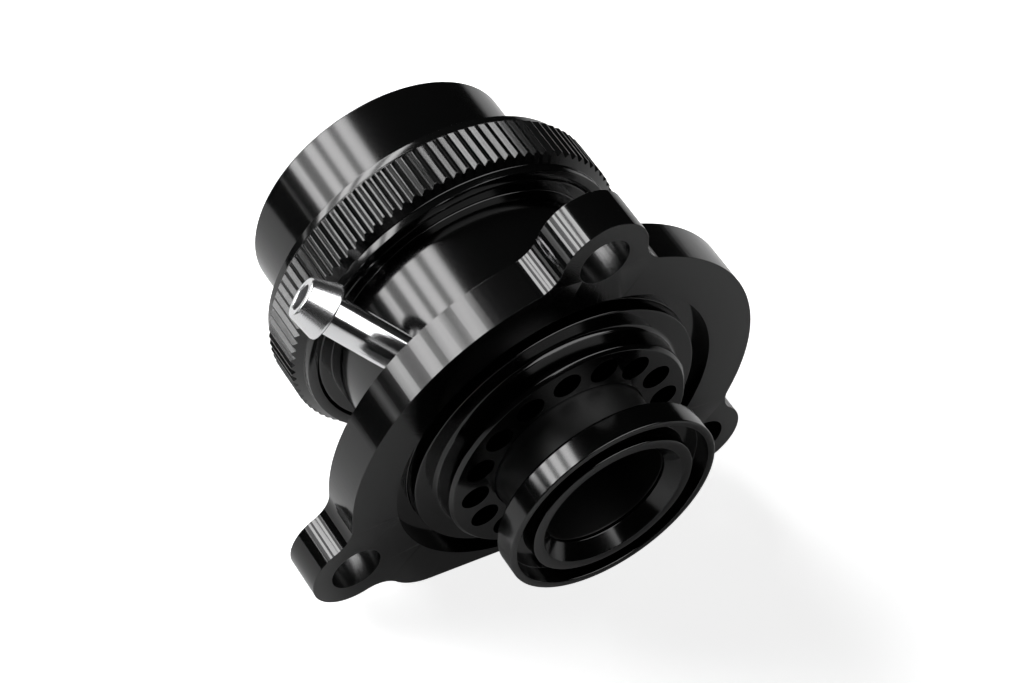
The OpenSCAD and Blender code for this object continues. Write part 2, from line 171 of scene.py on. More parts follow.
class NoseSizes(bpy.types.PropertyGroup):
    """Sizes of the piston and its valve head."""

    stem_r: length("Stem radius", "Radius of the piston's stem", 10.2)
    pocket_r: length("Pocket radius", "Radius of the nose pocket", 8.0)
    pocket_depth: length("Pocket depth", "Depth of the pocket below the mounting face", 1.0)
    crown_t: length("Crown", "Thickness of the piston's crown", 4.0)
    skirt_len: length("Skirt length", "Length of the piston's skirt", 7.0)
    stop_ring_h: length("Stop ring height", "Height of the stop ring", 0.5)
    stop_ring_w: length("Stop ring width", "Width of the stop ring", 0.6)
    ring_wall: length("Ring wall", "Wall beside the ring grooves", 1.0)
    ring_depth: length("Ring depth", "Depth of the ring grooves", 1.6)
    band_w: length("Band groove", "Width of the guide band's groove", 2.0)
    seal_w: length("Seal groove", "Width of the seal's groove", 1.8)
    spring_pocket_r: length("Spring pocket", "Radius of the spring's pocket", 10.55)
    rim_w: length("Head rim", "Width of the rim outside the face groove", 0.95)
    groove_w: length("Face groove width", "Width of the groove in the head's face", 2.2)
    groove_depth: length("Face groove depth", "Depth of the groove in the head's face", 2.4)
    mouth_r: length("Mouth radius", "Radius of the pocket's mouth", 9.5)
    mouth_depth: length("Mouth depth", "Depth of the tapered mouth", 1.75)
    rear_chamfer: length("Rear chamfer", "Chamfer on the head's rear edge", 0.45)
    spigot_wall: length("Spigot wall", "Wall of the stem's spigot", 1.1)
    spigot_len: length("Spigot length", "Length of the stem's spigot", 1.2)


class RearSizes(bpy.types.PropertyGroup):
    """Sizes of the cap, the collar, the hose barb and the spring."""

    cap_r: length("Cap radius", "Outside radius of the cap", 17.9)
    cap_flange_t: length("Cap flange", "Thickness of the cap's clamping flange", 2.0)
    cap_end_t: length("Cap end", "Thickness of the cap's end wall", 3.0)
    cap_bore_r: length("Cap bore", "Radius of the spring chamber", 12.0)
    cap_spigot_r: length("Cap spigot", "Radius of the cap's spigot", 14.41)
    cap_chamfer: length("Cap chamfer", "Chamfer on the cap's far edge", 0.3)
    collar_bore_r: length("Collar bore", "Radius of the collar's bore", 20.2)
    collar_lip: length("Collar lip", "Thickness of the collar's lip", 1.8)
    collar_clear: length("Collar clearance", "Clearance of the collar round the cap", 0.1)
    band_step: length("Band step", "Depth of the plain band", 0.85)
    band_len: length("Band length", "Length of the plain band", 1.0)
    cone_len: length("Cone length", "Length of the collar's cone", 0.9)
    cone_drop: length("Cone drop", "Drop of the radius over the cone", 1.3)
    front_rim: length("Collar front rim", "Length of the plain rim in front of the cone", 1.1)
    knurl_count: IntProperty(name="Teeth", description="Number of knurl teeth", default=100, min=8)
    knurl_depth: length("Knurl depth", "Depth of the knurl", 0.45)
    barb_turn: rotation("Barb turn", "Direction of the barb", 150)
    barb_slant: rotation("Barb slant", "Slant towards the cap", 36.4)
    barb_root: length("Barb root", "Distance of the barb's root behind the mounting face", 9.0)
    barb_seat: length("Barb seat", "Depth of the barb in the barrel's wall", 2.38)
    barb_reach: length("Barb reach", "Reach of the barb outside the barrel", 15.7)
    barb_shaft_r: length("Barb shaft", "Radius of the barb's shaft", 2.45)
    barb_cone_r: length("Barb cone", "Radius of the barb's shoulder", 3.55)
    barb_tip_r: length("Barb tip", "Radius of the barb's tip", 2.55)
    barb_cone_len: length("Barb cone length", "Length of the barb's cone", 3.7)
    barb_land: length("Barb land", "Length of the plain edge behind the cone", 0.35)
    barb_bore_r: length("Barb bore", "Radius of the barb's bore", 1.6)
    spring_r: length("Spring radius", "Mean radius of the coils", 8.5)
    spring_wire_r: length("Spring wire", "Radius of the spring's wire", 0.85)
    spring_turns: IntProperty(name="Spring turns", description="Number of coils", default=7, min=2)


class FinishSettings(bpy.types.PropertyGroup):
    """Colours and edge softness of the finishes."""

    edge_round: length("Edge round", "Radius of the softened edges", 0.16)
    turning_steps: IntProperty(name="Turning steps", description="Steps round a turned piece", default=192, min=24)
    black: colour("Black anodising", "Colour of the anodised aluminium", (0.0012, 0.0013, 0.0013))
    bright: colour("Bright metal", "Colour of the polished barb", (0.84, 0.84, 0.85))
    steel: colour("Spring steel", "Colour of the spring and the shim", (0.55, 0.55, 0.57))
    nylon: colour("Nylon", "Colour of the band, the seat and the washer", (0.82, 0.79, 0.7))
    rubber: colour("Rubber", "Colour of the seals", (0.02, 0.02, 0.02))


class StudioSettings(bpy.types.PropertyGroup):
    """Lamps, floor and camera."""

    tube_radiance: number("Tube radiance", "Brightness of a tube lamp", 9.0)
    tube_length: length("Tube length", "Length of a tube lamp", 950)
    tube_width: length("Tube width", "Width of a tube lamp", 98)
    lamp_distance: length("Lamp distance", "Distance of the tube lamps", 900)
    lamp_azimuth: rotation("Lamp azimuth", "Direction of the tube lamps", 125)
    panel_radiance: number("Panel radiance", "Glow between the tubes", 2.2)
    panel_height: length("Panel height", "Height of the panel behind the tubes", 620)
    panel_gap: length("Panel gap", "Distance of the panel behind the tubes", 80)
    panel_elevation: rotation("Panel elevation", "Height angle of the panel's middle", 30)
    front_radiance: number("Front radiance", "Brightness of the front lamp", 3.5)
    front_width: length("Front width", "Width of the front lamp", 1500)
    front_height: length("Front height", "Height of the front lamp", 1050)
    front_distance: length("Front distance", "Distance of the front lamp", 1150)
    front_azimuth: rotation("Front azimuth", "Direction of the front lamp", -52)
    front_elevation: rotation("Front elevation", "Height angle of the lamp's middle", 66)
    card_azimuth: rotation("Card azimuth", "Direction of the dark card", 150)
    card_distance: length("Card distance", "Distance of the dark card", 100)
    card_width: length("Card width", "Width of the dark card", 400)
    card_height: length("Card height", "Height of the dark card", 28)
    ambient: number("Ambient", "Strength of the world's light", 0.012)
    floor: colour("Floor", "Colour of the floor", (0.85, 0.85, 0.85))
    floor_glow: number("Floor glow", "White that the eye sees on the floor beside its light", 0.85)
    floor_mirrored: number("Floor mirrored", "Share of that white seen in reflections", 0.12)
    lens: number("Lens", "Focal length in millimetres", 108.8)
    roll: rotation("Roll", "Roll of the camera", 15.3)


SETTINGS = {
    "valve_housing": HousingSizes,
    "valve_nose": NoseSizes,
    "valve_rear": RearSizes,
    "valve_finish": FinishSettings,
    "valve_studio": StudioSettings,
}


class Value:
    """A node's socket that Python operators can be applied to."""

    def __init__(self, finish, socket):
        self.finish = finish
        self.socket = socket

    def math(self, operation, first, second=None):
        """Adds a Math node for one operation on one or two values."""
        inputs = {0: first} if second is None else {0: first, 1: second}
        return self.finish.node("ShaderNodeMath", {"operation": operation}, inputs)

    def __add__(self, other):
        return self.math("ADD", self, other)

    def __radd__(self, other):
        return self.math("ADD", other, self)

    def __sub__(self, other):
        return self.math("SUBTRACT", self, other)

    def __rsub__(self, other):
        return self.math("SUBTRACT", other, self)

    def __mul__(self, other):
        return self.math("MULTIPLY", self, other)

    def __rmul__(self, other):
        return self.math("MULTIPLY", other, self)

    def __gt__(self, other):
        return self.math("GREATER_THAN", self, other)

    def __pow__(self, other):
        return self.math("POWER", self, other)

    def sine(self):
        return self.math("SINE", self)


class Finish:
    """A material whose nodes are written as expressions."""

    def __init__(self, name):
        self.material = bpy.data.materials.new(name)
        self.material.use_nodes = True
        self.tree = self.material.node_tree
        self.shader = self.tree.nodes["Principled BSDF"]

    def node(self, kind, settings=None, inputs=None, output=0):
        """Adds a node, sets its settings first and then its sockets, and gives one output."""
        made = self.tree.nodes.new(kind)
        for key, value in (settings or {}).items():
            setattr(made, key, value)
        for key, value in (inputs or {}).items():
            self.feed(made.inputs[key], value)
        return Value(self, made.outputs[output])

    def feed(self, socket, value):
        """Links a value to a socket, or sets the socket's own number, vector or colour."""
        if isinstance(value, Value):
            self.tree.links.new(value.socket, socket)
        elif hasattr(value, "__len__") and socket.type == "RGBA":
            socket.default_value = (*value, 1)[:4]
        else:
            socket.default_value = value

    def set(self, **values):
        """Feeds the shader's sockets, with spaces written as underscores."""
        for key, value in values.items():
            self.feed(self.shader.inputs[key.replace("_", " ")], value)
        return self.material

    def place(self):
        """The point on the piece, in the part's own frame."""
        return self.node("ShaderNodeTexCoord", output="Object")

    def part(self, vector, letter):
        """One coordinate of a vector."""
        return self.node("ShaderNodeSeparateXYZ", None, {0: vector}, letter)

    def along(self, vector, origin, direction):
        """Distance of a point from an origin along a direction."""
        offset = self.node("ShaderNodeVectorMath", {"operation": "SUBTRACT"}, {0: vector, 1: origin})
        return self.node("ShaderNodeVectorMath", {"operation": "DOT_PRODUCT"}, {0: offset, 1: direction}, "Value")

    def noise(self, vector, scale, detail=3.0):
        """A cloud of values between 0 and 1."""
        return self.node("ShaderNodeTexNoise", None, {"Vector": vector, "Scale": scale, "Detail": detail})

    def streaks(self, position, scale, detail=2.0):
        """Uneven lines across one direction, between 0 and 1."""
        return self.node(
            "ShaderNodeTexNoise", {"noise_dimensions": "1D"}, {"W": position, "Scale": scale, "Detail": detail}
        )

    def blend(self, factor, first, second):
        """Mixes two colours."""
        return self.node(
            "ShaderNodeMix", {"data_type": "RGBA"}, {"Factor": factor, 6: (*first, 1), 7: (*second, 1)}, 2
        )

    def bump(self, height, strength, distance):
        """A surface normal raised by a height."""
        return self.node("ShaderNodeBump", None, {"Strength": strength, "Distance": distance, "Height": height})

    def turned_lines(self, scale):
        """Fine tool marks round the valve's axis, by radius and by place along the axis."""
        point = self.place()
        x, y, z = (self.part(point, letter) for letter in "XYZ")
        radius = (x * x + z * z) ** 0.5
        return self.streaks(radius + y, scale)


def lighter(value, share):
    """A colour moved towards white by a share."""
    return tuple(v + (1 - v) * share for v in value)


def black_anodised(name, roughness, grain, depth):
    """Black anodised aluminium: tool marks round the axis, a fine grain and a little handling haze."""
    settings = bpy.context.scene.valve_finish
    finish = Finish(name)
    point = finish.place()
    lines = finish.turned_lines(scale=9000)
    haze = finish.noise(point, scale=70, detail=4)
    speckle = finish.noise(point, scale=grain, detail=2)
    tone = finish.blend(haze, tuple(settings.black), lighter(settings.black, share=0.003))
    normal = finish.bump(lines + speckle, strength=0.3, distance=depth)
    return finish.set(
        Base_Color=tone, Roughness=roughness * (0.8 + 0.25 * haze + 0.2 * lines), IOR=1.5, Normal=normal
    )


def black(name):
    """One of the black finishes, by its name in the table."""
    return finish_named(name, black_anodised, *BLACK_FINISHES[name])


def bright_metal(name, origin, direction, cone_start):
    """Polished metal with turned rings, deeper on the barb's cone."""
    settings = bpy.context.scene.valve_finish
    finish = Finish(name)
    reach = finish.along(finish.place(), origin, direction)
    ring_pitch = 0.26 * MM
    rings = (reach * (2 * math.pi / ring_pitch)).sine()
    on_cone = reach > cone_start
    lines = finish.streaks(reach, scale=16000)
    tone = finish.blend(lines, tuple(0.9 * v for v in settings.bright), tuple(settings.bright))
    normal = finish.bump(rings * on_cone + 0.3 * lines, strength=0.5, distance=4e-6)
    return finish.set(
        Base_Color=tone, Metallic=1.0, Roughness=0.1 + 0.08 * lines + 0.1 * on_cone, Normal=normal
    )


def bright_steel(name, base):
    """Drawn or rolled steel with a dull grey skin."""
    finish = Finish(name)
    cloud = finish.noise(finish.place(), scale=600, detail=3)
    tone = finish.blend(cloud, tuple(0.75 * v for v in base), tuple(base))
    normal = finish.bump(cloud, strength=0.15, distance=1e-5)
    return finish.set(Base_Color=tone, Metallic=1.0, Roughness=0.25 + 0.15 * cloud, Normal=normal)


def matte_finish(name, base, scale, roughness):
    """A dull moulded material with a fine grain."""
    finish = Finish(name)
    grain = finish.noise(finish.place(), scale, detail=4)
    tone = finish.blend(grain, tuple(0.88 * v for v in base), tuple(base))
    normal = finish.bump(grain, strength=0.2, distance=1e-5)
    return finish.set(Base_Color=tone, Roughness=roughness + 0.12 * grain, Normal=normal)


def finish_named(name, make, *values):
    """The material of that name, made once."""
    return bpy.data.materials.get(name) or make(name, *values)


def spring_steel():
    return finish_named("drawn_steel", bright_steel, tuple(bpy.context.scene.valve_finish.steel))


def nylon():
    return finish_named("moulded_nylon", matte_finish, tuple(bpy.context.scene.valve_finish.nylon), 1800, 0.5)


def rubber():
    return finish_named("moulded_rubber", matte_finish, tuple(bpy.context.scene.valve_finish.rubber), 2500, 0.62)


def polar(radius, angle):
    """A point of the section plane at a radius and an angle in radians."""
    return Vector((radius * math.cos(angle), radius * math.sin(angle)))


def arc(centre, radius, start, end, steps):
    """Points of an arc about a centre, from one angle to another."""
    return [centre + polar(radius, start + (end - start) * i / steps) for i in range(steps + 1)]


def softened(points, radius, steps=3):
    """A closed outline with its corners rounded. A corner is (x, y), or (x, y, its own radius)."""
    result = []
    count = len(points)
    for i, corner in enumerate(points):
        here = Vector(corner[:2])
        before = Vector(points[i - 1][:2]) - here
        after = Vector(points[(i + 1) % count][:2]) - here
        own = corner[2] if len(corner) > 2 else radius
        half = before.angle(after) / 2
        reach = min(own / math.tan(half), 0.45 * before.length, 0.45 * after.length) if own else 0
        if reach < 1e-7 or half > math.radians(89):
            result.append(here)
            continue
        first = here + before.normalized() * reach
        last = here + after.normalized() * reach
        centre = here + (before.normalized() + after.normalized()).normalized() * (reach / math.cos(half))
        turn = (first - centre).angle_signed(last - centre)
        spoke = first - centre
        for k in range(steps + 1):
            a = -turn * k / steps
            c, s = math.cos(a), math.sin(a)
            result.append(centre + Vector((spoke.x * c - spoke.y * s, spoke.x * s + spoke.y * c)))
    return result


def start_mesh(name, primitive, **options):
    """Adds a primitive under a new name, with nothing else selected, and enters edit mode."""
    bpy.ops.object.select_all(action="DESELECT")
    primitive(**options)
    made = bpy.context.object
    made.name = name
    bpy.ops.object.mode_set(mode="EDIT")
    return made


def draw_loop(points):
    """Draws a closed line of edges in edit mode, vertex by vertex, from a plane pressed into one point."""
    bpy.ops.mesh.select_all(action="SELECT")
    bpy.ops.mesh.merge(type="CENTER")
    bpy.ops.transform.translate(value=points[0])
    for here, there in zip(points, points[1:]):
        bpy.ops.mesh.extrude_region_move(TRANSFORM_OT_translate={"value": there - here})
    bpy.ops.mesh.select_mode(type="VERT")
    bpy.ops.mesh.select_all(action="DESELECT")
    bpy.ops.object.mode_set(mode="OBJECT")
    vertices = bpy.context.object.data.vertices
    vertices[0].select = True
    vertices[len(points) - 1].select = True
    bpy.ops.object.mode_set(mode="EDIT")
    bpy.ops.mesh.edge_face_add()
    bpy.ops.mesh.select_all(action="SELECT")


def close_mesh():
    """Merges doubled vertices, points the faces outwards and leaves edit mode."""
    bpy.ops.mesh.select_all(action="SELECT")
    bpy.ops.mesh.remove_doubles(threshold=WELD)
    bpy.ops.mesh.normals_make_consistent(inside=False)
    bpy.ops.object.mode_set(mode="OBJECT")


def shade(piece, sharp=math.radians(38), weighted=True):
    """Smooths round faces and keeps corners sharp. Weighted normals hold flat faces flat beside soft edges."""
    bpy.ops.object.select_all(action="DESELECT")
    piece.select_set(True)
    bpy.context.view_layer.objects.active = piece
    bpy.ops.object.shade_smooth_by_angle(angle=sharp)
    if weighted:
        bpy.ops.object.modifier_add(type="WEIGHTED_NORMAL")
        piece.modifiers[-1].keep_sharp = True
        bpy.ops.object.modifier_apply(modifier=piece.modifiers[-1].name)


def turned(name, section, steps=None):
    """Spins a closed section of (radius, place along the axis) points round the valve's axis."""
    steps = steps or bpy.context.scene.valve_finish.turning_steps
    piece = start_mesh(name, bpy.ops.mesh.primitive_plane_add, size=MM)
    draw_loop([Vector((r, y, 0)) for r, y in section])
    bpy.ops.mesh.spin(steps=steps, angle=2 * math.pi, center=(0, 0, 0), axis=AXIS)
    close_mesh()
    return piece


def cut(piece, tool, operation="DIFFERENCE"):
    """Applies a boolean with a tool piece, and removes the tool."""
    bpy.ops.object.select_all(action="DESELECT")
    piece.select_set(True)
    bpy.context.view_layer.objects.active = piece
    bpy.ops.object.modifier_add(type="BOOLEAN")
    modifier = piece.modifiers[-1]
    modifier.operation = operation
    modifier.solver = "EXACT"
    modifier.object = tool
    bpy.ops.object.modifier_apply(modifier=modifier.name)
    bpy.data.objects.remove(tool)


def hand_over(piece, body, slot, nodes, *materials):
    """Gives a finished piece its materials and its body, and hides the nodes that it stands for; its slot is not
    used.
    """
    piece.data.materials.clear()
    for material in materials:
        piece.data.materials.append(material)
    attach(piece, body)
    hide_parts(*nodes)


def flange_outline(sizes):
    """The outline of the flange plate in its own plane, counter-clockwise."""
    hub = sizes.flange_r + sizes.ear_fillet
    reach = sizes.ear_r + sizes.ear_fillet
    pitch = sizes.ear_pitch_r
    spread = math.acos((hub**2 + pitch**2 - reach**2) / (2 * hub * pitch))
    inset = sizes.flange_r - sizes.flat_round
    height = sizes.flange_flat - sizes.flat_round
    corner = Vector((math.sqrt(inset**2 - height**2), -height))
    corner_end = math.atan2(corner.y, corner.x)
    points = []
    for number, degrees in enumerate(EAR_ANGLES):
        angle = math.radians(degrees)
        ear = polar(pitch, angle)
        first, second = polar(hub, angle - spread), polar(hub, angle + spread)
        inward = angle - spread + math.pi
        to_ear = math.atan2(ear.y - first.y, ear.x - first.x)
        bend = (to_ear - inward + math.pi) % (2 * math.pi) - math.pi
        points += arc(first, sizes.ear_fillet, inward, inward + bend, FILLET_STEPS)[1:]
        half_end = math.pi - ((angle - (to_ear + math.pi) + math.pi) % (2 * math.pi))
        points += arc(ear, sizes.ear_r, angle + half_end, angle - half_end, EAR_STEPS)[1:]
        outward = angle + spread + math.pi
        points += arc(second, sizes.ear_fillet, outward - bend, outward, FILLET_STEPS)[1:]
        following = math.radians(EAR_ANGLES[(number + 1) % 3] + 360 * (number == 2))
        if number == 1:
            left = Vector((-corner.x, corner.y))
            points += arc(left, sizes.flat_round, math.pi - corner_end, 1.5 * math.pi, FILLET_STEPS)
            points += arc(corner, sizes.flat_round, 1.5 * math.pi, 2 * math.pi + corner_end, FILLET_STEPS)
            points += [polar(sizes.flange_r, following - spread)]
        else:
            points += arc(Vector((0, 0)), sizes.flange_r, angle + spread, following - spread, RIM_STEPS)[1:]
    return points


class VALVE_OT_flange(bpy.types.Operator):
    """Draw the eared flange plate, drill its holes and soften its edges"""

    bl_idname = "valve.flange"
    bl_label = "Flange plate"

    def execute(self, context):
        sizes = context.scene.valve_housing
        edge = context.scene.valve_finish.edge_round
        outline = [Vector((p.x, 0, p.y)) for p in flange_outline(sizes)]
        flange = start_mesh("flange_plate", bpy.ops.mesh.primitive_plane_add, size=MM)
        draw_loop(outline)
        rings = [(sizes.ear_hole_r, polar(sizes.ear_pitch_r, math.radians(a)), HOLE_STEPS) for a in EAR_ANGLES]
        rings.append((sizes.groove_r, Vector((0, 0)), context.scene.valve_finish.turning_steps))
        for radius, centre, count in rings:
            bpy.ops.mesh.primitive_circle_add(
                vertices=count, radius=radius, location=(centre.x, 0, centre.y), rotation=(math.pi / 2, 0, 0)
            )
        bpy.ops.mesh.select_all(action="SELECT")
        bpy.ops.mesh.remove_doubles(threshold=WELD)
        bpy.ops.mesh.fill()
        bpy.ops.mesh.select_all(action="SELECT")
        bpy.ops.mesh.extrude_region_move(TRANSFORM_OT_translate={"value": (0, sizes.flange_t, 0)})
        close_mesh()
        self.soften(flange, sizes, edge)
        shade(flange, math.radians(14), weighted=False)
        hand_over(
            flange, "valve", "black_anodised", ["valve_body"],
            black("turned_black"), black("milled_black"), black("drilled_black"),
        )
        for face in flange.data.polygons:
            face.material_index = self.finish_of(face, sizes)
        return {"FINISHED"}

    def finish_of(self, face, sizes):
        """The finish of a face: 0 for the turned plate, 1 for an ear's wall and 2 for an ear hole."""
        middle = Vector((face.center.x, face.center.z))
        to_ear = min((middle - polar(sizes.ear_pitch_r, math.radians(a))).length for a in EAR_ANGLES)
        if to_ear < sizes.ear_hole_r + HAIR:
            return 2
        return 1 if middle.length > sizes.flange_r + HAIR and abs(face.normal.y) < 0.9 else 0

    def soften(self, flange, sizes, edge):
        """Bevels the edges between a flat face and a wall, but not the seam behind the seal groove."""
        mesh = flange.data
        normals = {}
        for face in mesh.polygons:
            for key in face.edge_keys:
                normals.setdefault(key, []).append(face.normal.copy())
        seam = sizes.groove_r + 0.05 * MM
        for item in mesh.edges:
            ends = [mesh.vertices[i].co for i in item.vertices]
            flat = any(all(abs(p.y - y) < 1e-6 for p in ends) for y in (0, sizes.flange_t))
            at_seam = all(math.hypot(p.x, p.z) < seam for p in ends) and ends[0].y > sizes.flange_t / 2
            sides = normals.get(item.key, [])
            item.select = flat and not at_seam and len(sides) == 2 and sides[0].dot(sides[1]) < 0.5
        bpy.ops.object.mode_set(mode="EDIT")
        bpy.ops.mesh.select_mode(type="EDGE")
        bpy.ops.mesh.bevel(offset=edge, segments=3, affect="EDGES", clamp_overlap=True)
        bpy.ops.mesh.select_mode(type="VERT")
        bpy.ops.object.mode_set(mode="OBJECT")


class VALVE_OT_barrel(bpy.types.Operator):
    """Turn the shoulder, the seal groove, the barrel and the land, and drill the vents"""

    bl_idname = "valve.barrel"
    bl_label = "Barrel and shoulder"

    def execute(self, context):
        sizes = context.scene.valve_housing
        edge = context.scene.valve_finish.edge_round
        groove_inner = sizes.groove_r - sizes.groove_w
        relief_rear = sizes.bore_front + sizes.relief_len
        land_front = BODY_REAR - sizes.land_len
        chamfer = sizes.shoulder_chamfer
        section = [
            (sizes.guide_r, BODY_FRONT),
            (sizes.shoulder_r - chamfer, BODY_FRONT),
            (sizes.shoulder_r, BODY_FRONT + chamfer),
            (sizes.shoulder_r, 0, sizes.shoulder_fillet),
            (groove_inner, 0),
            (groove_inner, sizes.groove_depth),
            (sizes.groove_r, sizes.groove_depth, 0),
            (sizes.groove_r, sizes.flange_t, 0),
            (sizes.barrel_r, sizes.flange_t),
            (sizes.barrel_r, land_front),
            (sizes.land_r - sizes.land_chamfer, land_front),
            (sizes.land_r, land_front + sizes.land_chamfer),
            (sizes.land_r, BODY_REAR),
            (sizes.bore_r, BODY_REAR),
            (sizes.bore_r, relief_rear),
            (sizes.relief_r, relief_rear),
            (sizes.relief_r, sizes.bore_front),
            (sizes.guide_r, sizes.bore_front),
        ]
        barrel = turned("barrel", softened(section, edge))
        cut(barrel, self.vent_drills(sizes))
        shade(barrel)
        hand_over(barrel, "valve", "black_anodised", ["valve_body"], black("turned_black"))
        return {"FINISHED"}

    def vent_drills(self, sizes):
        """Plain drills in a ring, joined into one tool."""
        past = 0.5 * MM
        front = BODY_FRONT - past
        rear = sizes.bore_front + past
        section = [(0, front), (sizes.vent_r, front), (sizes.vent_r, rear), (0, rear)]
        drill = turned("vent_drill", section, DRILL_STEPS)
        bpy.ops.transform.translate(value=(sizes.vent_pitch_r, 0, 0))
        bpy.ops.object.transform_apply(location=True)
        pitch = 2 * math.pi / sizes.vent_count
        drills = [drill]
        for number in range(1, sizes.vent_count):
            bpy.ops.object.select_all(action="DESELECT")
            drill.select_set(True)
            bpy.context.view_layer.objects.active = drill
            bpy.ops.object.duplicate()
            copy = bpy.context.object
            copy.rotation_euler.y = -number * pitch
            drills.append(copy)
        for item in drills:
            item.rotation_euler.y -= sizes.vent_turn
            item.select_set(True)
        bpy.context.view_layer.objects.active = drill
        bpy.ops.object.transform_apply(rotation=True)
        bpy.ops.object.join()
        return drill


class VALVE_OT_nose(bpy.types.Operator):
    """Turn the piston and the valve head on its nose"""

    bl_idname = "valve.nose"
    bl_label = "Piston and head"

    def execute(self, context):
        sizes = context.scene.valve_nose
        edge = context.scene.valve_finish.edge_round
        piston = turned("piston_stem", softened(self.piston_section(sizes), edge / 2))
        shade(piston)
        hand_over(piston, "piston", "black_anodised", ["piston"], black("satin_black"))
        head = turned("nose_head", softened(self.head_section(sizes), edge))
        shade(head)
        hand_over(head, "piston", "black_anodised", ["valve_head"], black("turned_black"))
        return {"FINISHED"}

    def piston_section(self, sizes):
        """Stem, stop ring, skirt with two ring grooves, and spring pocket."""
        skirt_front = SKIRT_REAR - sizes.skirt_len
        ring_front = skirt_front - sizes.stop_ring_h
        stop_r = sizes.stem_r + sizes.stop_ring_w
        band_front = skirt_front + sizes.ring_wall
        seal_rear = SKIRT_REAR - sizes.ring_wall
        floor_r = SKIRT_R - sizes.ring_depth
        spigot_r = sizes.pocket_r + sizes.spigot_wall
        spigot_front = HEAD_REAR - sizes.spigot_len
        crown_rear = sizes.pocket_depth + sizes.crown_t
        return [
            (0, sizes.pocket_depth, 0), (sizes.pocket_r, sizes.pocket_depth),
            (sizes.pocket_r, spigot_front), (spigot_r, spigot_front),
            (spigot_r, HEAD_REAR), (sizes.stem_r, HEAD_REAR),
            (sizes.stem_r, ring_front), (stop_r, ring_front),
            (stop_r, skirt_front), (SKIRT_R, skirt_front),
            (SKIRT_R, band_front), (floor_r, band_front),
            (floor_r, band_front + sizes.band_w), (SKIRT_R, band_front + sizes.band_w),
            (SKIRT_R, seal_rear - sizes.seal_w), (floor_r, seal_rear - sizes.seal_w),
            (floor_r, seal_rear), (SKIRT_R, seal_rear),
            (SKIRT_R, SKIRT_REAR), (sizes.spring_pocket_r, SKIRT_REAR),
            (sizes.spring_pocket_r, crown_rear), (0, crown_rear, 0),
        ]

    def head_section(self, sizes):
        """Rim, empty face groove, inner ring and tapered mouth."""
        bore_r = sizes.pocket_r + sizes.spigot_wall + CLEAR
        groove_outer = HEAD_R - sizes.rim_w
        groove_inner = groove_outer - sizes.groove_w
        floor = HEAD_FRONT + sizes.groove_depth
        socket = HEAD_REAR - sizes.spigot_len - CLEAR
        return [
            (bore_r, HEAD_REAR), (HEAD_R - sizes.rear_chamfer, HEAD_REAR),
            (HEAD_R, HEAD_REAR - sizes.rear_chamfer), (HEAD_R, HEAD_FRONT),
            (groove_outer, HEAD_FRONT), (groove_outer, floor),
            (groove_inner, floor), (groove_inner, HEAD_FRONT),
            (sizes.mouth_r, HEAD_FRONT), (sizes.pocket_r, HEAD_FRONT + sizes.mouth_depth),
            (sizes.pocket_r, socket), (bore_r, socket),
        ]


class VALVE_OT_cap(bpy.types.Operator):
    """Turn the round cap that closes the rear of the valve"""

    bl_idname = "valve.cap"
    bl_label = "Cap"

    def execute(self, context):
        sizes = context.scene.valve_rear
        edge = context.scene.valve_finish.edge_round
        floor = CAP_REAR - sizes.cap_end_t
        flange_rear = BODY_REAR + sizes.cap_flange_t
        section = [
            (0, CAP_REAR, 0), (sizes.cap_r - sizes.cap_chamfer, CAP_REAR),
            (sizes.cap_r, CAP_REAR - sizes.cap_chamfer), (sizes.cap_r, flange_rear),
            (CAP_FLANGE_R, flange_rear), (CAP_FLANGE_R, BODY_REAR + CLEAR),
            (sizes.cap_spigot_r, BODY_REAR + CLEAR), (sizes.cap_spigot_r, CAP_FRONT),
            (sizes.cap_bore_r, CAP_FRONT), (sizes.cap_bore_r, floor), (0, floor, 0),
        ]
        cap = turned("rear_cap", softened(section, edge))
        shade(cap)
        hand_over(cap, "valve", "black_anodised", ["cap"], black("turned_black"))
        return {"FINISHED"}


